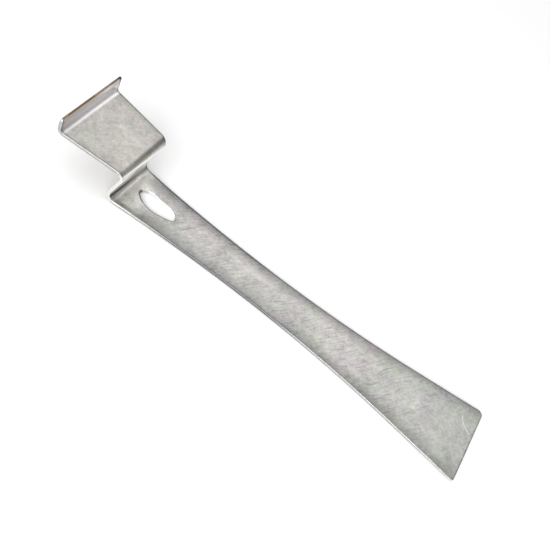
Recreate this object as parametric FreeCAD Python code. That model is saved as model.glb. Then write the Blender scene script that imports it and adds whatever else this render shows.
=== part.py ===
import FreeCAD, Part
import math
import os

from FreeCAD import Vector

# Hive tool: one strip of stainless sheet, cut to a waisted blank, punched, bent three times and ground
# at both ends. Millimetres and degrees.
#
# Frame: +X runs from the lip to the blade's edge, +Y across the tool and +Z up. The tool lies on the
# flat underside of its shank at z = 0, and x = 0, y = 0 is the middle of its overall length and width.

# Sheet
THICKNESS = 1.6

# Side profile, walked along the middle of the sheet from the blade's edge to the tip of the lip.
# A run is a flat stretch, a turn is the angle of a bend, and each radius is on the inside of its bend.
SHANK_RUN = 181.0
FOOT_TURN = 107.5       # folds up and a little back over the shank
FOOT_RADIUS = 3.0
RISER_RUN = 12.8
CREST_TURN = 104.0      # levels out into the head, which keeps climbing by a few degrees
CREST_RADIUS = 2.2
HEAD_RUN = 25.2
LIP_TURN = 92.0
LIP_RADIUS = 1.5
LIP_RUN = 5.4

# Outline of the flat blank: a narrow waist, an arc each way from it, and a straight flare after each arc.
WAIST_WIDTH = 20.0
WAIST_PLACE = 115.0     # from the blade's edge
BLADE_ARC = 620.0
BLADE_FLARE = 7.4
HEAD_ARC = 745.0
HEAD_FLARE = 6.4

# Blade: ground on the underside to a thin edge, with rounded corners, the -Y one sharper than the +Y one
BLADE_BEVEL = 30.0
BLADE_EDGE = 0.4
BLADE_CORNER_PLUS_Y = 2.2
BLADE_CORNER_MINUS_Y = 1.0

# Lip: ground on the inside face to a narrow tip, with rounded corners, the +Y one sharper than the -Y one
LIP_BEVEL = 1.8
LIP_EDGE = 0.7
LIP_CORNER_PLUS_Y = 0.7
LIP_CORNER_MINUS_Y = 1.8

# Nail hole: a lopsided teardrop, blunt beside the step and narrow towards the blade. Its outline is a
# closed smooth curve through these points, counted from the sharp corner between riser and shank.
HOLE_OUTLINE = [
    (8.0, 1.0),         # blunt end
    (11.0, -2.4),
    (16.8, -4.0),       # broadest place on the -Y side
    (23.0, -3.1),
    (27.4, -0.8),       # narrow end
    (25.2, 2.3),
    (18.2, 3.4),        # nearly straight on the +Y side
    (11.0, 3.7),
]

# Construction
STATION_STEP = 3.0      # spacing of the points that carry the outline round the bends
CUTTER_REACH = 0.7      # how far a trimming surface stands out of the sheet on each side
STOCK_WIDTH = 60.0      # of the strip before its flanks are trimmed


def sheet_pieces():
    """The middle of the sheet as flat and bent pieces: (start distance, length, x, z, heading, curvature)."""
    half = THICKNESS / 2.0
    walk = [
        (SHANK_RUN, 0.0),
        (-math.radians(FOOT_TURN), FOOT_RADIUS + half),
        (RISER_RUN, 0.0),
        (math.radians(CREST_TURN), CREST_RADIUS + half),
        (HEAD_RUN, 0.0),
        (-math.radians(LIP_TURN), LIP_RADIUS + half),
        (LIP_RUN, 0.0),
    ]
    pieces = []
    distance, x, z, heading = 0.0, 0.0, half, math.pi
    for amount, radius in walk:
        length = abs(amount) * radius if radius else amount
        curvature = math.copysign(1.0 / radius, amount) if radius else 0.0
        piece = (distance, length, x, z, heading, curvature)
        pieces.append(piece)
        end = place(piece, length, 0.0)
        x, z = end.x, end.z
        heading += curvature * length
        distance += length
    return pieces


def place(piece, along, offset):
    """The point at a distance along a piece, offset from the middle of the sheet to its upper side."""
    _, _, x, z, heading, curvature = piece
    turned = heading + curvature * along
    if curvature:
        x += (math.sin(turned) - math.sin(heading)) / curvature
        z -= (math.cos(turned) - math.cos(heading)) / curvature
    else:
        x += along * math.cos(heading)
        z += along * math.sin(heading)
    return Vector(x + offset * math.sin(turned), 0.0, z - offset * math.cos(turned))


def half_width(distance):
    """Half the blank's width at a distance from the blade's edge."""
    on_blade_side = distance < WAIST_PLACE
    arc = BLADE_ARC if on_blade_side else HEAD_ARC
    flare = math.radians(BLADE_FLARE if on_blade_side else HEAD_FLARE)
    reach = abs(distance - WAIST_PLACE)
    arc_reach = arc * math.sin(flare)
    if reach < arc_reach:
        return WAIST_WIDTH / 2.0 + arc - math.sqrt(arc ** 2 - reach ** 2)
    return WAIST_WIDTH / 2.0 + arc * (1.0 - math.cos(flare)) + (reach - arc_reach) * math.tan(flare)


def piece_edge(piece, offset):
    """One face of a piece, seen from the side: a line on a flat piece and an arc on a bend."""
    length, curvature = piece[1], piece[5]
    start = place(piece, 0.0, offset)
    end = place(piece, length, offset)
    if curvature:
        return Part.Arc(start, place(piece, length / 2.0, offset), end).toShape()
    return Part.makeLine(start, end)


def bent_strip(pieces):
    """The whole bent sheet at one width, extruded across the tool from its side profile."""
    half = THICKNESS / 2.0
    first, last = pieces[0], pieces[-1]
    edges = [piece_edge(piece, side) for side in (half, -half) for piece in pieces]
    edges.append(Part.makeLine(place(first, 0.0, half), place(first, 0.0, -half)))
    edges.append(Part.makeLine(place(last, last[1], half), place(last, last[1], -half)))
    profile = Part.Face(Part.Wire(Part.sortEdges(edges)[0]))
    profile.translate(Vector(0.0, -STOCK_WIDTH / 2.0, 0.0))
    return profile.extrude(Vector(0.0, STOCK_WIDTH, 0.0))


def outline_stations(pieces):
    """Evenly spaced (piece, distance along it) pairs, closer on the bends, from end to end of the sheet."""
    stations = [(pieces[0], -STATION_STEP)]
    for piece in pieces:
        spacing = STATION_STEP / 3.0 if piece[5] else STATION_STEP
        count = max(2, round(piece[1] / spacing))
        stations += [(piece, piece[1] * step / count) for step in range(count)]
    last = pieces[-1]
    stations += [(last, last[1]), (last, last[1] + STATION_STEP)]
    return stations


def flank_cutter(pieces, side):
    """What lies outside one flank: the blank's outline carried along the bent sheet, then swept outwards."""
    reach = THICKNESS / 2.0 + CUTTER_REACH
    stations = outline_stations(pieces)
    distances = [piece[0] + along for piece, along in stations]
    rails = []
    for offset in (-reach, reach):
        points = [place(piece, along, offset) for piece, along in stations]
        for point, distance in zip(points, distances):
            point.y = side * half_width(distance)
        rail = Part.BSplineCurve()
        rail.interpolate(Points=points, Parameters=distances)
        rails.append(rail.toShape())
    flank = Part.makeRuledSurface(rails[0], rails[1])
    return flank.extrude(Vector(0.0, side * STOCK_WIDTH, 0.0))


def prism_across(points):
    """A closed XZ polygon extruded across the whole tool."""
    outline = Part.makePolygon(points + [points[0]])
    outline.translate(Vector(0.0, -STOCK_WIDTH / 2.0, 0.0))
    return Part.Face(outline).extrude(Vector(0.0, STOCK_WIDTH, 0.0))


def blade_grind():
    """The wedge that grinding takes off the underside of the blade."""
    return prism_across([
        Vector(-BLADE_BEVEL, 0.0, 0.0),
        Vector(1.0, 0.0, (THICKNESS - BLADE_EDGE) * (1.0 + 1.0 / BLADE_BEVEL)),
        Vector(1.0, 0.0, -1.0),
        Vector(-BLADE_BEVEL, 0.0, -1.0),
    ])


def lip_grind(lip):
    """The wedge that grinding takes off the inside face of the lip, up to its tip."""
    inner = THICKNESS / 2.0
    length = lip[1]
    return prism_across([
        place(lip, length - LIP_BEVEL, inner),
        place(lip, length, LIP_EDGE - inner),
        place(lip, length + 1.0, LIP_EDGE - inner),
        place(lip, length + 1.0, inner + 1.0),
        place(lip, length - LIP_BEVEL, inner + 1.0),
    ])


def nail_hole(foot_corner):
    """A vertical punch with the hole's section; foot_corner is the x of the riser's sharp corner."""
    outline = Part.BSplineCurve()
    outline.interpolate(
        Points=[Vector(foot_corner + x, y, -THICKNESS) for x, y in HOLE_OUTLINE],
        PeriodicFlag=True,
    )
    return Part.Face(Part.Wire(outline.toShape())).extrude(Vector(0.0, 0.0, 3.0 * THICKNESS))


def rounded_edge(shape, point, radius):
    """The shape with the edge closest to a point rounded."""
    vertex = Part.Vertex(point)
    nearest = min(shape.Edges, key=lambda edge: edge.distToShape(vertex)[0])
    return shape.makeFillet(radius, [nearest])


def rounded_corners(tool, lip):
    """The tool with the blade's two corners and the lip's two corners rounded."""
    blade_half = half_width(0.0)
    tool = rounded_edge(tool, Vector(0.0, blade_half, THICKNESS / 2.0), BLADE_CORNER_PLUS_Y)
    tool = rounded_edge(tool, Vector(0.0, -blade_half, THICKNESS / 2.0), BLADE_CORNER_MINUS_Y)
    tip = place(lip, lip[1], 0.0)
    tip_half = half_width(lip[0] + lip[1])
    tool = rounded_edge(tool, Vector(tip.x, tip_half, tip.z), LIP_CORNER_PLUS_Y)
    return rounded_edge(tool, Vector(tip.x, -tip_half, tip.z), LIP_CORNER_MINUS_Y)


def build_tool():
    """The finished tool, in the frame that the top of this file describes."""
    pieces = sheet_pieces()
    lip = pieces[-1]
    tool = bent_strip(pieces)
    tool = tool.cut(flank_cutter(pieces, 1)).cut(flank_cutter(pieces, -1))
    tool = rounded_corners(tool, lip)
    tool = tool.cut(blade_grind()).cut(lip_grind(lip))
    foot_reach = FOOT_RADIUS * math.tan(math.radians(FOOT_TURN) / 2.0)
    tool = tool.cut(nail_hole(-SHANK_RUN - foot_reach))
    box = tool.optimalBoundingBox()
    tool.translate(Vector(-(box.XMin + box.XMax) / 2.0, 0.0, 0.0))
    return tool.Solids[0]


os.makedirs("parts", exist_ok=True)
tool_body = build_tool()
tool_body.exportStep("parts/tool_body.step")
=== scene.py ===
import math

import bmesh
import bpy
import numpy as np
from mathutils import Matrix, Vector, noise
from mathutils.geometry import delaunay_2d_cdt


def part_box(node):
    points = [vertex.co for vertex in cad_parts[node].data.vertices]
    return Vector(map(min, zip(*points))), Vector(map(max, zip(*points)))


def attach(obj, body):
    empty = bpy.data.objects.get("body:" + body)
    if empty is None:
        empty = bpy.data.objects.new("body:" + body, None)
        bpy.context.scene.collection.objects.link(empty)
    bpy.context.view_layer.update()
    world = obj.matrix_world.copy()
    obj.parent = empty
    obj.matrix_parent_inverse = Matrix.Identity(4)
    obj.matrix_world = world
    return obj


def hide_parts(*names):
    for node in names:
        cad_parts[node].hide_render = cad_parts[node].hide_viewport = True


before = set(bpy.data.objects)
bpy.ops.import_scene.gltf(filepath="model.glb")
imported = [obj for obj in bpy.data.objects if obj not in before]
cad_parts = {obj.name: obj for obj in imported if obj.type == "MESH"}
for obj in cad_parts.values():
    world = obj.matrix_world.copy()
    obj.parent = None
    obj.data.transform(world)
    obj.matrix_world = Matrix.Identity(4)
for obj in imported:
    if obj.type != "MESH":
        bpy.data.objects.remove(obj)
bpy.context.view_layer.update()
cad_low, cad_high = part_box("tool_body")

# ---- The tool as designed, in millimetres and degrees. It is one strip of sheet: a place on its flat blank
# is a distance along it from the blade's edge and a distance across it, and an offset is counted from the
# middle of the sheet towards its upper face. ----

MM = 0.001
THICKNESS = 1.6
SHANK_RUN = 181.0
FOOT_TURN, FOOT_RADIUS = 107.5, 3.0
RISER_RUN = 12.8
CREST_TURN, CREST_RADIUS = 104.0, 2.2
HEAD_RUN = 25.2
LIP_TURN, LIP_RADIUS = 92.0, 1.5
LIP_RUN = 5.4

WAIST_WIDTH, WAIST_PLACE = 20.0, 115.0
BLADE_ARC, BLADE_FLARE = 620.0, 7.4
HEAD_ARC, HEAD_FLARE = 745.0, 6.4

BLADE_BEVEL, BLADE_EDGE = 30.0, 0.4
BLADE_CORNER_PLUS_Y, BLADE_CORNER_MINUS_Y = 2.2, 1.0
LIP_BEVEL, LIP_EDGE = 1.8, 0.7
LIP_CORNER_PLUS_Y, LIP_CORNER_MINUS_Y = 0.7, 1.8

# The nail hole: a closed smooth curve through points counted from the sharp corner of riser and shank
HOLE_OUTLINE = [
    (8.0, 1.0), (11.0, -2.4), (16.8, -4.0), (23.0, -3.1), (27.4, -0.8), (25.2, 2.3), (18.2, 3.4), (11.0, 3.7),
]

# Shape that only the looks have: broken edges, ground faces that fall away towards the long edges, and a
# slight waviness
EDGE_BREAK = 0.28           # radius
THIN_EDGE_BREAK = 0.3       # radius as a share of the thickness, where the sheet is ground thin
FALL_REACH, FALL_DEPTH = 5.0, 0.22
FALL_FADE = (170.0, 178.0)  # along the blank, before the foot's bend
LOWER_FALL = 0.5            # as a share of the upper face's
WAVE_HEIGHT = 0.02
BROAD_WAVE, CLOSE_WAVE = (14.0, 9.0), (6.0, 5.0)
LOWER_WAVES = 0.6           # as a share of the upper face's

# Spacing of the mesh
FLAT_STEP = 1.1
BEND_STEP = 0.3
ACROSS_COUNT = 27
CORNER_STEPS = 7
CORNER_CLEARANCE = 1.6      # of the long sides' points from the ends, in corner radii
HOLE_COUNT = 84
EDGE_BREAK_STEPS = 4
EDGE_SUPPORT = 0.15         # from a broken edge to the first row of the face
OUTLINE_CLEARANCE, HOLE_CLEARANCE = 0.25, 0.35


def sheet_pieces():
    """The middle of the sheet as rows of start distance, length, x, z, heading and curvature."""
    half = THICKNESS / 2.0
    walk = [
        (SHANK_RUN, 0.0),
        (-math.radians(FOOT_TURN), FOOT_RADIUS + half),
        (RISER_RUN, 0.0),
        (math.radians(CREST_TURN), CREST_RADIUS + half),
        (HEAD_RUN, 0.0),
        (-math.radians(LIP_TURN), LIP_RADIUS + half),
        (LIP_RUN, 0.0),
    ]
    rows = []
    distance, x, z, heading = 0.0, cad_high.x / MM, half, math.pi
    for amount, radius in walk:
        length = abs(amount) * radius if radius else amount
        curvature = math.copysign(1.0 / radius, amount) if radius else 0.0
        rows.append((distance, length, x, z, heading, curvature))
        turned = heading + curvature * length
        if curvature:
            x += (math.sin(turned) - math.sin(heading)) / curvature
            z -= (math.cos(turned) - math.cos(heading)) / curvature
        else:
            x += length * math.cos(heading)
            z += length * math.sin(heading)
        heading = turned
        distance += length
    return np.array(rows)


PIECES = sheet_pieces()
BLANK_LENGTH = PIECES[-1][0] + PIECES[-1][1]


def bend(flat, offset):
    """Points of the blank carried round its bends to their places in the frame, in metres."""
    distance, across = flat[:, 0], flat[:, 1]
    index = np.clip(np.searchsorted(PIECES[:, 0], distance, side="right") - 1, 0, len(PIECES) - 1)
    start, _, x, z, heading, curvature = PIECES[index].T
    straight = curvature == 0.0
    divisor = np.where(straight, 1.0, curvature)
    run = distance - start
    turned = heading + curvature * run
    x = x + np.where(straight, run * np.cos(heading), (np.sin(turned) - np.sin(heading)) / divisor)
    z = z + np.where(straight, run * np.sin(heading), (np.cos(heading) - np.cos(turned)) / divisor)
    return MM * np.stack([x + offset * np.sin(turned), across, z - offset * np.cos(turned)], axis=1)


def half_width(distance):
    """Half the blank's width at distances along it."""
    distance = np.asarray(distance, float)
    on_blade_side = distance < WAIST_PLACE
    arc = np.where(on_blade_side, BLADE_ARC, HEAD_ARC)
    flare = np.radians(np.where(on_blade_side, BLADE_FLARE, HEAD_FLARE))
    reach = np.abs(distance - WAIST_PLACE)
    arc_reach = arc * np.sin(flare)
    round_part = arc - np.sqrt(arc ** 2 - np.minimum(reach, arc_reach) ** 2)
    return WAIST_WIDTH / 2.0 + round_part + np.maximum(reach - arc_reach, 0.0) * np.tan(flare)


# ---- Outlines on the flat blank ----

def stations():
    """Distances along the blank: even on the flats, close in the bends, and one where each grind starts."""
    places = [BLADE_BEVEL, BLANK_LENGTH - LIP_BEVEL, BLANK_LENGTH]
    for start, length, _, _, _, curvature in PIECES:
        count = round(length / (BEND_STEP if curvature else FLAT_STEP))
        places += [start + length * step / count for step in range(count)]
    return np.array(sorted(places))


def rounded(corner, before, after, radius):
    """A corner between two straight sides as points of an arc."""
    corner, before, after = (np.array(point, float) for point in (corner, before, after))
    back = (before - corner) / np.linalg.norm(before - corner)
    ahead = (after - corner) / np.linalg.norm(after - corner)
    half_angle = math.acos(back @ ahead) / 2.0
    middle = (back + ahead) / np.linalg.norm(back + ahead)
    centre = corner + middle * radius / math.sin(half_angle)
    first = corner + back * radius / math.tan(half_angle) - centre
    last = corner + ahead * radius / math.tan(half_angle) - centre
    turn = math.atan2(first[0] * last[1] - first[1] * last[0], first @ last)
    points = []
    for step in range(CORNER_STEPS + 1):
        sine, cosine = math.sin(turn * step / CORNER_STEPS), math.cos(turn * step / CORNER_STEPS)
        points.append(centre + (first[0] * cosine - first[1] * sine, first[0] * sine + first[1] * cosine))
    return points


def blank_outline(places):
    """The blank's outline with its four rounded corners."""
    clear = CORNER_CLEARANCE * max(BLADE_CORNER_PLUS_Y, LIP_CORNER_MINUS_Y)
    kept = [place for place in places if clear < place < BLANK_LENGTH - clear]
    plus_side = [(place, float(half_width(place))) for place in kept]
    minus_side = [(place, -half) for place, half in plus_side[::-1]]
    blade_half, lip_half = float(half_width(0.0)), float(half_width(BLANK_LENGTH))
    shares = np.linspace(-1.0, 1.0, ACROSS_COUNT)[2:-2]
    blade_end = [(0.0, share * blade_half) for share in shares]
    lip_end = [(BLANK_LENGTH, -share * lip_half) for share in shares]
    outline = [
        *blade_end,
        *rounded((0.0, blade_half), blade_end[-1], plus_side[0], BLADE_CORNER_PLUS_Y),
        *plus_side,
        *rounded((BLANK_LENGTH, lip_half), plus_side[-1], lip_end[0], LIP_CORNER_PLUS_Y),
        *lip_end,
        *rounded((BLANK_LENGTH, -lip_half), lip_end[-1], minus_side[0], LIP_CORNER_MINUS_Y),
        *minus_side,
        *rounded((0.0, -blade_half), minus_side[-1], blade_end[0], BLADE_CORNER_MINUS_Y),
    ]
    return np.array([tuple(point) for point in outline])[::-1]


def closed_spline(knots, count):
    """Points along the closed cubic spline through the knots, its parameter the length of its chords."""
    closed = np.vstack([knots, knots[:1]])
    chord = np.linalg.norm(np.diff(closed, axis=0), axis=1)
    slope = np.diff(closed, axis=0) / chord[:, None]
    total = len(knots)
    system = np.zeros((total, total))
    for i in range(total):
        system[i, i - 1] += chord[i - 1]
        system[i, i] += 2.0 * (chord[i - 1] + chord[i])
        system[i, (i + 1) % total] += chord[i]
    second = np.linalg.solve(system, 6.0 * (slope - np.roll(slope, 1, axis=0)))
    second = np.vstack([second, second[:1]])
    starts = np.concatenate([[0.0], np.cumsum(chord)])
    at = np.linspace(0.0, starts[-1], count, endpoint=False)
    i = np.searchsorted(starts, at, side="right") - 1
    left, right, step = (starts[i + 1] - at)[:, None], (at - starts[i])[:, None], chord[i][:, None]
    points = (second[i] * left ** 3 + second[i + 1] * right ** 3) / (6.0 * step)
    points += (closed[i] / step - second[i] * step / 6.0) * left
    return points + (closed[i + 1] / step - second[i + 1] * step / 6.0) * right


def hole_outline():
    """The nail hole's outline on the blank."""
    corner = SHANK_RUN + FOOT_RADIUS * math.tan(math.radians(FOOT_TURN) / 2.0)
    return closed_spline(np.array([(corner - x, y) for x, y in HOLE_OUTLINE]), HOLE_COUNT)


def anticlockwise(loop):
    following = np.roll(loop, -1, axis=0)
    doubled_area = np.sum(loop[:, 0] * following[:, 1] - following[:, 0] * loop[:, 1])
    return loop if doubled_area > 0.0 else loop[::-1]


def normals(loop):
    """Unit normals that point out of an anticlockwise loop."""
    tangent = np.roll(loop, -1, axis=0) - np.roll(loop, 1, axis=0)
    tangent /= np.linalg.norm(tangent, axis=1)[:, None]
    return np.stack([tangent[:, 1], -tangent[:, 0]], axis=1)


def inside(points, loop):
    """Which points lie inside a closed loop."""
    result = np.zeros(len(points), bool)
    x, y = points.T
    for (x0, y0), (x1, y1) in zip(loop, np.roll(loop, -1, axis=0)):
        crosses = (y0 > y) != (y1 > y)
        if crosses.any():
            result ^= crosses & (x < x0 + (y - y0) * (x1 - x0) / (y1 - y0))
    return result


def gap_to(points, loop):
    """Each point's distance to the nearest stretch of a closed loop."""
    best = np.full(len(points), np.inf)
    for start, end in zip(loop, np.roll(loop, -1, axis=0)):
        run = end - start
        share = np.clip(((points - start) @ run) / (run @ run), 0.0, 1.0)
        best = np.minimum(best, np.linalg.norm(points - start - share[:, None] * run, axis=1))
    return best


# ---- Faces of the sheet: offsets from its middle ----

def fall(flat):
    """How far a face drops towards the long edges. It stops before the foot's bend."""
    gap = np.maximum(half_width(flat[:, 0]) - np.abs(flat[:, 1]), 0.0)
    fade_start, fade_end = FALL_FADE
    past_shank = np.clip((flat[:, 0] - fade_start) / (fade_end - fade_start), 0.0, 1.0)
    on_shank = 1.0 - past_shank ** 2 * (3.0 - 2.0 * past_shank)
    return FALL_DEPTH * np.clip(1.0 - gap / FALL_REACH, 0.0, 1.0) ** 2 * on_shank


def waves(flat, layer):
    """A face's slight waviness, centred just below the nominal face. Each layer has its own pattern."""
    heights = []
    for along, across in flat:
        broad = noise.noise(Vector((along / BROAD_WAVE[0], across / BROAD_WAVE[1], layer)))
        close = noise.noise(Vector((along / CLOSE_WAVE[0], across / CLOSE_WAVE[1], layer + 7.0)))
        heights.append(WAVE_HEIGHT * (broad + 0.5 * close - 1.0))
    return np.array(heights)


def upper_face(flat):
    lip_ground = np.clip((flat[:, 0] - BLANK_LENGTH + LIP_BEVEL) / LIP_BEVEL, 0.0, 1.0)
    ground = THICKNESS / 2.0 - lip_ground * (THICKNESS - LIP_EDGE)
    return ground - fall(flat) + waves(flat, 1.0)


def lower_face(flat):
    blade_ground = np.clip((BLADE_BEVEL - flat[:, 0]) / BLADE_BEVEL, 0.0, 1.0)
    ground = -THICKNESS / 2.0 + blade_ground * (THICKNESS - BLADE_EDGE)
    return ground + LOWER_FALL * fall(flat) * (1.0 - blade_ground) - LOWER_WAVES * waves(flat, 21.0)


def break_radius(loop):
    """The radius of the broken edges along an outline, less where the sheet is ground thin."""
    from_blade = np.clip(loop[:, 0] / BLADE_BEVEL, 0.0, 1.0)
    from_lip = np.clip((BLANK_LENGTH - loop[:, 0]) / LIP_BEVEL, 0.0, 1.0)
    at_blade = BLADE_EDGE + (THICKNESS - BLADE_EDGE) * from_blade
    at_lip = LIP_EDGE + (THICKNESS - LIP_EDGE) * from_lip
    return np.minimum(EDGE_BREAK, THIN_EDGE_BREAK * np.minimum(at_blade, at_lip))


# ---- The mesh ----

def inner_points(places, inset):
    """A grid of points between the inset outline and the inset hole."""
    along, share = np.meshgrid(places[1:-1], np.linspace(-1.0, 1.0, ACROSS_COUNT)[1:-1], indexing="ij")
    reach = half_width(along) - EDGE_BREAK - EDGE_SUPPORT
    grid = np.stack([along.ravel(), (share * reach).ravel()], axis=1)
    keep = inside(grid, inset[0]) & ~inside(grid, inset[1])
    keep &= gap_to(grid, inset[0]) > OUTLINE_CLEARANCE
    keep &= gap_to(grid, inset[1]) > HOLE_CLEARANCE
    return grid[keep]


def triangulated(loops, inner):
    """Flat points, the loops' first, and the clockwise triangles between the outline and the hole."""
    points = np.vstack([*loops, inner])
    edges, first = [], 0
    for loop in loops:
        edges += [(first + i, first + (i + 1) % len(loop)) for i in range(len(loop))]
        first += len(loop)
    found = delaunay_2d_cdt([Vector(point) for point in points.tolist()], edges, [], 0, 1e-7)
    source = np.array([origin[0] for origin in found[3]])
    triangles = source[np.array([list(face) for face in found[2]])]
    centres = points[triangles].mean(axis=1)
    triangles = triangles[inside(centres, loops[0]) & ~inside(centres, loops[1])]
    first, second, third = points[triangles].transpose(1, 0, 2)
    area = np.cross(second - first, third - first)
    return points, np.where((area > 0.0)[:, None], triangles[:, ::-1], triangles)


class Strip:
    """The mesh while it is made: vertices, their places on the blank with their side, and faces."""

    def __init__(self):
        self.count = 0
        self.vertices, self.blank, self.faces = [], [], []

    def add(self, flat, offset, side):
        """Adds vertices and returns the first one's number; side is 1 on the upper face, -1 on the lower."""
        first = self.count
        self.count += len(flat)
        self.vertices.append(bend(flat, offset))
        self.blank.append(np.column_stack([flat, np.full(len(flat), side)]))
        return first

    def join(self, ring, following, count):
        """Faces between two rings of vertices."""
        for i in range(count):
            j = (i + 1) % count
            self.faces.append((ring + i, ring + j, following + j, following + i))

    def rim(self, loop, outward, high, low, top, bottom):
        """A cut edge with both of its corners broken, from the upper face's ring to the lower face's."""
        radius = break_radius(loop)
        rings = [top]
        turns = [(face, step) for face in (1, -1) for step in range(EDGE_BREAK_STEPS + 1)[::face]]
        for face, step in turns:
            angle = 0.5 * math.pi * step / EDGE_BREAK_STEPS
            flat = loop - outward * (radius * (1.0 - math.sin(angle)))[:, None]
            inward = radius * (1.0 - math.cos(angle))
            offset = high - inward if face > 0 else low + inward
            rings.append(self.add(flat, offset, face * (1.0 - 0.5 * step / EDGE_BREAK_STEPS)))
        rings.append(bottom)
        for ring, following in zip(rings, rings[1:]):
            self.join(ring, following, len(loop))

    def finished(self, hole):
        """The object, with its attributes for the material and its normals outward."""
        mesh = bpy.data.meshes.new("steel_strip")
        mesh.from_pydata(np.vstack(self.vertices).tolist(), [], self.faces)
        blank = np.vstack(self.blank)
        flat = blank[:, :2]
        edge_gap = np.maximum(half_width(flat[:, 0]) - np.abs(flat[:, 1]), 0.0)
        mesh.attributes.new("blank", "FLOAT_VECTOR", "POINT").data.foreach_set("vector", blank.ravel())
        mesh.attributes.new("edge", "FLOAT", "POINT").data.foreach_set("value", edge_gap)
        mesh.attributes.new("hole", "FLOAT", "POINT").data.foreach_set("value", gap_to(flat, hole))
        shape = bmesh.new()
        shape.from_mesh(mesh)
        bmesh.ops.recalc_face_normals(shape, faces=shape.faces)
        shape.to_mesh(mesh)
        shape.free()
        mesh.shade_smooth()
        strip = bpy.data.objects.new("steel_strip", mesh)
        bpy.context.scene.collection.objects.link(strip)
        return strip


def build_strip():
    """The whole tool as one closed mesh."""
    places = stations()
    loops = [anticlockwise(blank_outline(places)), anticlockwise(hole_outline())]
    outward = [normals(loops[0]), -normals(loops[1])]
    inset = [
        loop - outward_here * (break_radius(loop) + EDGE_SUPPORT)[:, None]
        for loop, outward_here in zip(loops, outward)
    ]
    flat, triangles = triangulated(inset, inner_points(places, inset))
    high, low = upper_face(flat), lower_face(flat)
    strip = Strip()
    top, bottom = strip.add(flat, high, 1.0), strip.add(flat, low, -1.0)
    strip.faces += (triangles + top).tolist() + (triangles[:, ::-1] + bottom).tolist()
    first = 0
    for loop, outward_here in zip(loops, outward):
        part = slice(first, first + len(loop))
        strip.rim(loop, outward_here, high[part], low[part], top + first, bottom + first)
        first += len(loop)
    return strip.finished(loops[1])


# ---- The steel's look, in layers of colour that go by a point's place on the blank, in millimetres. The
# layers at the bends, the hole and the edges paint light and dark that bare steel would get from what it
# reflects. ----

# Some of these colours paint light and shade: the brightest white paints highlights and also a scratch, the
# pale lip and cream colours paint reflected light, the olive, grey and blue shades paint shade, and the
# near-black paints shade and also the lip's sooty tip.
DARK_STEEL = (0.355, 0.352, 0.343, 1.0)
LIGHT_STEEL = (0.735, 0.72, 0.69, 1.0)
EDGE_STEEL = (0.58, 0.575, 0.56, 1.0)
PALE_LIP_REFLECTION = (0.92, 0.90, 0.93, 1.0)
CREAM_REFLECTION = (0.96, 0.95, 0.90, 1.0)
HIGHLIGHT_AND_SCRATCH_WHITE = (1.0, 0.99, 0.99, 1.0)
LILAC_TINT = (1.045, 0.973, 1.045, 1.0)
GREEN_TINT = (0.952, 1.015, 0.94, 1.0)
BLADE_TINT = (0.975, 1.0, 0.985, 1.0)
SHANK_TINT = (1.01, 1.0, 1.0, 1.0)
HEAD_TINT = (1.015, 1.0, 0.975, 1.0)
OLIVE_SHADE = (0.12, 0.13, 0.10, 1.0)
GREY_SHADE = (0.10, 0.10, 0.10, 1.0)
BLUE_SHADE = (0.045, 0.045, 0.075, 1.0)
SHADE_AND_SOOT = (0.03, 0.03, 0.035, 1.0)
BLACK = (0.0, 0.0, 0.0, 1.0)
TIP_BROWN = (0.26, 0.155, 0.05, 1.0)

TONE_MIDDLE = 0.5       # between dark and light steel
ROUGHNESS_MIDDLE = 0.37
GRIND_ANGLE = 57.0      # of the belt's lines, from the blank's length
BUMP_HEIGHT = 0.00006   # metres

# Where each bend starts along the blank
FOOT_START, CREST_START, LIP_BEND_START = PIECES[1][0], PIECES[3][0], PIECES[5][0]

# Zones along the blank, as where one fades in, is full, stops being full and has faded out.
# From the foot's start:
BESIDE_HOLE = (-31.0, -15.0, -9.0, -2.0)
UNDER_STEP = (-13.0, -2.5, -0.2, 1.6)
STREAK = (-13.0, -6.0, 0.0, 2.5)
INNER_CORNER = (2.2, 3.4, 3.9, 5.0)
RISER_FOOT = (4.3, 5.2, 6.6, 9.0)
STEP_SIDE = (0.0, 3.0, 22.0, 26.0)
# From the crest's start:
RISER_TOP = (-2.4, -0.9, 1.3, 2.3)
CREST = (1.7, 2.9, 3.8, 5.1)
# From the lip bend's start:
LIP_BEND = (-0.9, 0.2, 1.6, 2.4)
# From the blade's edge:
SHADED_MINUS_Y_EDGE = (40.0, 100.0, 150.0, 176.0)
SHADED_PLUS_Y_EDGE = (105.0, 125.0, 176.0, 184.0)
SHADED_WAIST_SIDE = (80.0, 105.0, 145.0, 170.0)
SCRATCH_LENGTH = (1.2, 2.0, 8.6, 9.4)

FLANK_REACH = 7.0
SCRATCH_CENTRE, SCRATCH_RADIUS = (-0.44, 13.5), 8.64
BRIGHT_SPOT = (28.4, 0.2)


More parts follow.
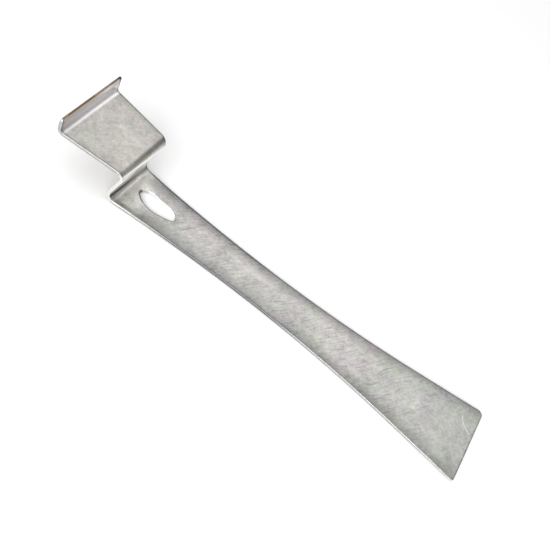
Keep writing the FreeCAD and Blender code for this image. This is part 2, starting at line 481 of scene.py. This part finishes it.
class Graph:
    """A material's shader nodes, with short names for the kinds used here."""

    def __init__(self, material):
        material.use_nodes = True
        self.tree = material.node_tree
        self.shader = self.tree.nodes["Principled BSDF"]

    def new(self, kind, inputs, **settings):
        made = self.tree.nodes.new(kind)
        for name, value in settings.items():
            setattr(made, name, value)
        for name, value in inputs.items():
            self.feed(made.inputs[name], value)
        return made

    def feed(self, socket, value):
        if isinstance(value, bpy.types.NodeSocket):
            self.tree.links.new(value, socket)
        else:
            socket.default_value = value

    def attribute(self, name, output="Fac"):
        return self.new("ShaderNodeAttribute", {}, attribute_name=name).outputs[output]

    def math(self, operation, a, b=0.0):
        return self.new("ShaderNodeMath", {0: a, 1: b}, operation=operation).outputs[0]

    def vector(self, operation, a, b, output=0):
        return self.new("ShaderNodeVectorMath", {0: a, 1: b}, operation=operation).outputs[output]

    def add(self, first, *others):
        for other in others:
            first = self.math("ADD", first, other)
        return first

    def times(self, first, *others):
        for other in others:
            first = self.math("MULTIPLY", first, other)
        return first

    def larger(self, a, b):
        return self.math("MAXIMUM", a, b)

    def absolute(self, value):
        return self.math("ABSOLUTE", value)

    def ramp(self, value, low, high, start=0.0, end=1.0):
        """Smoothly from start to end as the value goes from low to high."""
        inputs = {"Value": value, "From Min": low, "From Max": high, "To Min": start, "To Max": end}
        return self.new("ShaderNodeMapRange", inputs, interpolation_type="SMOOTHSTEP").outputs["Result"]

    def band(self, value, rise_from, rise_to, fall_from, fall_to):
        """One in a zone and nothing outside it, with soft ends."""
        rise = self.ramp(value, rise_from, rise_to)
        return self.times(rise, self.ramp(value, fall_from, fall_to, 1.0, 0.0))

    def noise(self, vector, size, detail=2.0, roughness=0.5):
        """Noise from -0.5 to 0.5, with features of the given size."""
        inputs = {"Vector": vector, "Scale": 1.0 / size, "Detail": detail, "Roughness": roughness}
        return self.add(self.new("ShaderNodeTexNoise", inputs).outputs[0], -0.5)

    def streaks(self, vector, angle, length, width, detail=3.0, roughness=0.6):
        """Noise drawn out into lines at an angle in degrees, of the given length and width."""
        turn = (0.0, 0.0, -math.radians(angle))
        inputs = {"Vector": vector, "Rotation": turn, "Scale": (length, width, 1.0)}
        turned = self.new("ShaderNodeMapping", inputs, vector_type="TEXTURE").outputs[0]
        return self.noise(turned, 1.0, detail, roughness)

    def distance(self, flat, centre):
        """How far a place on the blank is from a point of it."""
        return self.vector("DISTANCE", flat, (*centre, 0.0), "Value")

    def mix(self, amount, a, b, blend="MIX"):
        made = self.new("ShaderNodeMix", {}, data_type="RGBA", blend_type=blend)
        self.feed(made.inputs[0], amount)
        self.feed(made.inputs[6], a)
        self.feed(made.inputs[7], b)
        return made.outputs[2]

    def tinted(self, colour, tint):
        return self.mix(1.0, colour, tint, "MULTIPLY")

    def brighter(self, colour, extra):
        """The colour with an extra share of itself added."""
        inputs = {0: colour, "Scale": self.add(1.0, extra)}
        return self.new("ShaderNodeVectorMath", inputs, operation="SCALE").outputs[0]


class Sheet:
    """Sockets for where a point lies: along and across the blank, on which side, and how far from edges."""

    def __init__(self, g):
        blank = g.attribute("blank", "Vector")
        parts = g.new("ShaderNodeSeparateXYZ", {0: blank}).outputs
        self.along, self.across, side = parts[0], parts[1], parts[2]
        self.from_foot = g.add(self.along, -FOOT_START)
        self.from_crest = g.add(self.along, -CREST_START)
        self.from_lip_bend = g.add(self.along, -LIP_BEND_START)
        self.from_tip = g.add(self.along, -BLANK_LENGTH)
        self.flat = g.vector("MULTIPLY", blank, (1.0, 1.0, 0.0))
        self.edge = g.attribute("edge")
        self.hole = g.attribute("hole")
        self.upper = g.ramp(side, 0.0, 0.5)
        self.rim = g.ramp(g.absolute(side), 0.80, 0.97, 1.0, 0.0)
        self.wall = g.ramp(g.absolute(side), 0.52, 0.64, 1.0, 0.0)
        inputs = {"X": self.along, "Y": self.across, "Z": g.times(side, 40.0)}
        self.texture = g.new("ShaderNodeCombineXYZ", inputs).outputs[0]


class Finish:
    """The ground surface's noises: belt lines, single deeper strokes, and mottling at several sizes."""

    def __init__(self, g, sheet):
        sway = g.new("ShaderNodeTexNoise", {"Vector": sheet.texture, "Scale": 0.05, "Detail": 2.0})
        sway = g.vector("MULTIPLY", sway.outputs["Color"], (5.0, 5.0, 0.0))
        swayed = g.vector("ADD", sheet.texture, sway)
        past_blade = g.ramp(sheet.along, 14.0, 34.0, 0.35, 1.0)
        before_hole = g.ramp(sheet.along, 148.0, 170.0, 1.0, 0.3)
        on_shank = g.times(past_blade, before_hole)
        patches = g.ramp(g.noise(sheet.texture, 11.0), -0.2, 0.2, 0.5, 1.5)
        fine = g.streaks(swayed, GRIND_ANGLE, 5.0, 0.36, roughness=0.65)
        coarse = g.streaks(swayed, GRIND_ANGLE - 5.0, 7.0, 0.9)
        deep = g.streaks(swayed, GRIND_ANGLE - 2.0, 9.0, 0.55, detail=1.0, roughness=0.4)
        self.lines = g.times(g.add(g.times(fine, 0.8), g.times(coarse, 1.1)), on_shank, patches)
        self.relief = g.times(g.add(g.times(fine, 0.9), coarse), on_shank)
        self.strokes = g.times(g.ramp(deep, 0.10, 0.22), on_shank)
        self.mottle = g.noise(sheet.texture, 1.5, 4.0, 0.65)
        self.cloud = g.noise(sheet.texture, 5.0, 2.0, 0.6)
        self.stain = g.noise(sheet.texture, 17.0, 3.0, 0.5)
        self.grain = g.noise(sheet.texture, 0.35, 2.0, 0.5)


def general_tone(g, sheet, finish):
    """The steel's colour before anything local, between dark and light."""
    share = g.math("DIVIDE", sheet.across, g.add(sheet.edge, g.absolute(sheet.across)))
    # A faint painted highlight in a band on the +Y half of the sheet
    ridge_highlight = g.times(g.band(share, 0.0, 0.3, 0.45, 0.7), g.ramp(sheet.along, 20.0, 40.0))
    tone = g.add(
        TONE_MIDDLE,
        finish.lines,
        g.times(finish.strokes, -0.5),
        g.times(finish.mottle, 1.25),
        g.times(finish.cloud, 0.85),
        g.times(finish.stain, 0.95),
        g.times(finish.grain, 0.9),
        g.times(ridge_highlight, 0.07),
        g.times(g.band(sheet.from_foot, *BESIDE_HOLE), -0.12),
    )
    return g.mix(tone, DARK_STEEL, LIGHT_STEEL)


def faint_tints(g, sheet, colour):
    """Lilac and green that wander, weaker past the waist, and a slow change from the blade to the head."""
    wander = g.add(g.noise(sheet.texture, 3.0, 4.0, 0.65), g.times(g.noise(sheet.texture, 13.0), 0.4))
    tint = g.mix(g.ramp(wander, -0.16, 0.16), LILAC_TINT, GREEN_TINT)
    colour = g.mix(g.ramp(sheet.along, 80.0, 120.0, 1.0, 0.6), colour, tint, "MULTIPLY")
    slow = g.mix(g.ramp(sheet.along, 20.0, 60.0), BLADE_TINT, SHANK_TINT)
    slow = g.mix(g.ramp(sheet.along, 150.0, 206.0), slow, HEAD_TINT)
    return g.tinted(colour, slow)


def dark_flanks(g, sheet, colour):
    """Painted shade: the steel darkens over its last millimetres to the long edges, less on the blade and
    past the shank.
    """
    near = g.larger(g.add(1.0, g.times(sheet.edge, -1.0 / FLANK_REACH)), 0.0)
    amount = g.times(
        g.math("POWER", near, 1.2),
        g.ramp(sheet.from_foot, -4.5, -2.0, 1.0, 0.35),
        g.ramp(sheet.along, 5.0, 60.0, 0.7, 1.0),
        g.ramp(sheet.across, -6.0, 6.0, 0.40, 0.52),
    )
    return g.mix(amount, colour, BLACK)


def lip_tones(g, sheet, colour):
    """The upper face past the head: a painted highlight along the lip's bend and a lip made pale by painted
    reflected light.
    """
    bend_highlight = g.times(g.band(sheet.from_lip_bend, *LIP_BEND), g.ramp(sheet.across, -17.0, 6.0, 0.6, 1.0))
    lip_face = g.ramp(sheet.from_lip_bend, 1.8, 2.8)
    colour = g.mix(g.times(sheet.upper, bend_highlight, 0.9), colour, HIGHLIGHT_AND_SCRATCH_WHITE)
    return g.mix(g.times(sheet.upper, lip_face, 0.75), colour, PALE_LIP_REFLECTION)


def step_tones(g, sheet, colour):
    """The upper face at the step, in painted light and shade: a dark painted reflection on the crest, a
    painted highlight on the riser and painted shade in the inner corner.
    """
    crest = g.times(g.band(sheet.from_crest, *CREST), g.ramp(sheet.across, -14.0, 2.0, 0.55, 1.0))
    riser_top = g.band(g.add(sheet.from_crest, g.times(sheet.across, 0.07)), *RISER_TOP)
    riser = g.add(riser_top, g.band(sheet.from_foot, *RISER_FOOT))
    corner = g.band(g.add(sheet.from_foot, g.times(sheet.across, 0.06)), *INNER_CORNER)
    corner = g.times(corner, g.ramp(sheet.across, -9.0, 12.5, 0.85, 0.3))
    colour = g.mix(g.times(sheet.upper, crest, 0.5), colour, OLIVE_SHADE)
    colour = g.mix(g.times(sheet.upper, riser, 0.95), colour, HIGHLIGHT_AND_SCRATCH_WHITE)
    return g.mix(g.times(sheet.upper, corner), colour, SHADE_AND_SOOT)


def shank_end_tones(g, sheet, colour):
    """The shank's end: painted reflected light under the step, then a dark wedge of painted shade, with a
    dark streak by the -Y edge.
    """
    under_step = g.times(g.band(sheet.from_foot, *UNDER_STEP), g.ramp(sheet.across, 3.0, 8.0, 1.0, 0.15))
    colour = g.brighter(colour, g.times(sheet.upper, under_step, 0.9))
    before_diagonal = g.ramp(g.add(sheet.from_foot, g.times(sheet.across, 1.27)), -24.2, -22.6, 1.0, 0.0)
    fade = g.times(g.ramp(sheet.from_foot, -31.0, -18.0), g.ramp(sheet.across, -6.5, -3.5, 1.0, 0.0))
    colour = g.mix(g.times(sheet.upper, before_diagonal, fade, 0.22), colour, GREY_SHADE)
    streak = g.times(g.band(sheet.edge, 0.3, 0.9, 1.4, 3.2), g.band(sheet.from_foot, *STREAK))
    return g.mix(g.times(streak, g.ramp(sheet.across, -6.0, -1.0, 1.0, 0.0), 0.5), colour, GREY_SHADE)


def hole_outline_tones(g, sheet, colour):
    """Painted shade: a dark line round the nail hole's -Y side, and a thicker one round its blunt end."""
    near_side = g.ramp(sheet.across, -0.6, 0.8, 1.0, 0.0)
    blunt_end = g.times(g.ramp(sheet.from_foot, -9.5, -7.0), g.ramp(sheet.across, 1.0, 2.4, 1.0, 0.0))
    line = g.larger(
        g.times(g.ramp(sheet.hole, 0.1, 0.8, 1.0, 0.0), near_side, 0.75),
        g.times(g.ramp(sheet.hole, 0.3, 1.1, 1.0, 0.0), blunt_end, 0.85),
    )
    return g.mix(g.times(sheet.upper, line), colour, BLUE_SHADE)


def shaded_outline(g, sheet, colour):
    """Painted shade in a thin dark line beside the long edges, strongest at +Y and on the lip; and a dark
    line on the blade's edge.
    """
    on_plus_y = g.ramp(sheet.across, 0.0, 5.0)
    by_waist = g.times(g.band(sheet.along, *SHADED_PLUS_Y_EDGE), on_plus_y)
    beside = g.larger(on_plus_y, g.times(g.band(sheet.along, *SHADED_MINUS_Y_EDGE), 0.85))
    beside = g.larger(beside, g.ramp(sheet.from_crest, -0.9, 5.1, 0.0, 0.8))
    reach = g.add(g.ramp(sheet.from_lip_bend, -2.6, 2.4, 1.2, 2.4), g.times(by_waist, 0.35))
    depth = g.add(0.72, g.times(by_waist, 0.18))
    colour = g.mix(g.times(g.ramp(sheet.edge, 0.1, reach, 1.0, 0.0), beside, depth), colour, BLUE_SHADE)
    return g.mix(g.ramp(sheet.along, 0.1, 0.8, 0.6, 0.0), colour, SHADE_AND_SOOT)


def cut_edges(g, sheet, colour):
    """The sheet's cut edges: plain steel, a painted pale reflection beside the step, and painted shade on the
    +Y side and by the waist.
    """
    colour = g.mix(g.times(sheet.rim, 0.7), colour, EDGE_STEEL)
    step_side = g.times(g.band(sheet.from_foot, *STEP_SIDE), g.ramp(sheet.across, -6.0, -2.0, 1.0, 0.0))
    colour = g.mix(g.times(sheet.rim, step_side, 0.7), colour, CREAM_REFLECTION)
    edge_shade = g.larger(g.ramp(sheet.across, 0.0, 5.0, 0.0, 0.55), g.band(sheet.along, *SHADED_WAIST_SIDE))
    on_flank = g.ramp(sheet.edge, 0.6, 1.5, 1.0, 0.0)
    return g.mix(g.times(sheet.rim, on_flank, edge_shade, 0.6), colour, BLUE_SHADE)


def hole_wall(g, sheet, colour):
    """The nail hole's wall: a painted highlight on its +Y side, painted shade at its blunt end and on its -Y
    side.
    """
    in_hole = g.times(sheet.rim, g.ramp(sheet.edge, 4.0, 5.0))
    far_side = g.times(g.ramp(sheet.across, 0.4, 1.4), g.ramp(sheet.from_foot, -7.5, -5.5, 1.0, 0.0))
    blunt_end = g.times(g.ramp(sheet.from_foot, -8.0, -6.0), g.ramp(sheet.across, 1.0, 2.4, 1.0, 0.0))
    dark = g.larger(blunt_end, g.ramp(sheet.across, -1.8, -0.2, 0.95, 0.0))
    colour = g.mix(g.times(in_hole, sheet.wall, far_side), colour, HIGHLIGHT_AND_SCRATCH_WHITE)
    return g.mix(g.times(in_hole, dark), colour, SHADE_AND_SOOT)


def blade_marks(g, sheet, colour):
    """A bright spot and a curved scratch on the blade."""
    bright_spot = g.ramp(g.distance(sheet.flat, BRIGHT_SPOT), 0.5, 5.5, 0.16, 0.0)
    colour = g.brighter(colour, g.times(sheet.upper, bright_spot))
    off_arc = g.absolute(g.add(g.distance(sheet.flat, SCRATCH_CENTRE), -SCRATCH_RADIUS))
    scratch = g.times(
        g.ramp(off_arc, 0.07, 0.22, 1.0, 0.0),
        g.band(sheet.along, *SCRATCH_LENGTH),
        g.ramp(sheet.across, 10.5, 12.5, 1.0, 0.0),
    )
    return g.mix(g.times(sheet.upper, scratch, 0.8), colour, HIGHLIGHT_AND_SCRATCH_WHITE)


def burnt_lip(g, sheet, colour):
    """The lip's tip: unevenly brown along its edge, and blackened at its +Y end."""
    edge = g.ramp(sheet.from_tip, -0.45, -0.15)
    uneven = g.ramp(g.noise(sheet.texture, 3.0), -0.25, 0.1, 0.45, 0.95)
    edge_colour = g.mix(g.ramp(sheet.across, 14.5, 18.0), TIP_BROWN, SHADE_AND_SOOT)
    colour = g.mix(g.times(edge, uneven), colour, edge_colour)
    smoked = g.times(g.ramp(sheet.across, 7.0, 15.0), g.ramp(sheet.from_tip, -3.9, -1.5))
    burnt = g.times(g.ramp(sheet.across, 17.0, 18.4), g.ramp(sheet.from_tip, -2.0, -1.0))
    return g.mix(g.larger(g.times(smoked, 0.4), g.times(burnt, 0.9)), colour, SHADE_AND_SOOT)


COLOUR_LAYERS = [
    faint_tints,
    dark_flanks,
    lip_tones,
    step_tones,
    shank_end_tones,
    hole_outline_tones,
    shaded_outline,
    cut_edges,
    hole_wall,
    blade_marks,
    burnt_lip,
]


def ground_steel():
    """Satin steel off a grinding belt, with the tones and marks of this tool."""
    steel = bpy.data.materials.new("ground_steel")
    g = Graph(steel)
    sheet = Sheet(g)
    finish = Finish(g, sheet)
    colour = general_tone(g, sheet, finish)
    for layer in COLOUR_LAYERS:
        colour = layer(g, sheet, colour)
    roughness = g.add(
        ROUGHNESS_MIDDLE,
        g.times(finish.lines, 0.22),
        g.times(finish.mottle, 0.14),
        g.times(finish.stain, 0.10),
        g.times(sheet.rim, -0.05),
    )
    height = g.add(finish.relief, g.times(finish.mottle, 0.8), g.times(finish.grain, 0.35))
    bump = g.new("ShaderNodeBump", {"Strength": 0.35, "Distance": BUMP_HEIGHT, "Height": height})
    g.feed(g.shader.inputs["Base Color"], colour)
    g.feed(g.shader.inputs["Roughness"], roughness)
    g.feed(g.shader.inputs["Normal"], bump.outputs["Normal"])
    g.shader.inputs["Metallic"].default_value = 1.0
    return steel


# ---- Stage: camera, pale floor and soft light ----

CAMERA_PLACE = (0.00639, -0.21216, 0.26875)
CAMERA_AIM = (-0.00370, 0.01069, 0.0)
CAMERA_ROLL = 35.6      # degrees, about the line of sight
CAMERA_LENS = 52.22

FLOOR_REACH = 3.0
FLOOR_GAP = 0.0002
FLOOR_COLOUR = (0.9, 0.9, 0.9, 1.0)

SKY_STRENGTH = 0.52
# Panels of light as (place, width, height, radiance). The flat faces mirror the first one to the camera;
# the last two whiten the floor.
MIRRORED_PANEL = ((0.0, 0.77, 0.93), 1.0, 0.55, 0.85)
OVERHEAD_PANEL = ((-0.1, -0.45, 1.3), 1.4, 1.2, 1.4)
FRONT_PANEL = ((0.0, -1.3, 0.9), 1.6, 0.9, 4.6)


def link(made):
    bpy.context.scene.collection.objects.link(made)
    return made


def add_camera():
    data = bpy.data.cameras.new("camera")
    data.lens = CAMERA_LENS
    data.clip_start = 0.01
    camera = link(bpy.data.objects.new("camera", data))
    place = Vector(CAMERA_PLACE)
    level = (Vector(CAMERA_AIM) - place).to_track_quat("-Z", "Y").to_matrix().to_4x4()
    roll = Matrix.Rotation(math.radians(CAMERA_ROLL), 4, "Z")
    camera.matrix_world = Matrix.Translation(place) @ level @ roll
    bpy.context.scene.camera = camera


def add_floor():
    mesh = bpy.data.meshes.new("floor")
    corners = [(x * FLOOR_REACH, y * FLOOR_REACH, 0.0) for x, y in ((-1, -1), (1, -1), (1, 1), (-1, 1))]
    mesh.from_pydata(corners, [], [(0, 1, 2, 3)])
    floor = link(bpy.data.objects.new("floor", mesh))
    floor.location.z = cad_low.z - FLOOR_GAP
    paper = bpy.data.materials.new("paper")
    paper.use_nodes = True
    shader = paper.node_tree.nodes["Principled BSDF"]
    shader.inputs["Base Color"].default_value = FLOOR_COLOUR
    shader.inputs["Roughness"].default_value = 0.9
    mesh.materials.append(paper)


def add_panel(name, place, width, height, radiance):
    """A rectangle of light that faces the tool."""
    data = bpy.data.lights.new(name, "AREA")
    data.shape = "RECTANGLE"
    data.size = width
    data.size_y = height
    data.energy = radiance * math.pi * width * height
    panel = link(bpy.data.objects.new(name, data))
    panel.location = place
    panel.rotation_euler = (-Vector(place)).to_track_quat("-Z", "Y").to_euler()


def add_sky():
    world = bpy.data.worlds.new("studio")
    world.use_nodes = True
    background = world.node_tree.nodes["Background"]
    background.inputs["Color"].default_value = (1.0, 1.0, 1.0, 1.0)
    background.inputs["Strength"].default_value = SKY_STRENGTH
    bpy.context.scene.world = world


strip = build_strip()
strip.data.materials.append(ground_steel())
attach(strip, "root")
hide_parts("tool_body")

add_camera()
add_floor()
add_panel("mirrored_panel", *MIRRORED_PANEL)
add_panel("overhead_panel", *OVERHEAD_PANEL)
add_panel("front_panel", *FRONT_PANEL)
add_sky()
bpy.context.scene.view_settings.view_transform = "Standard"
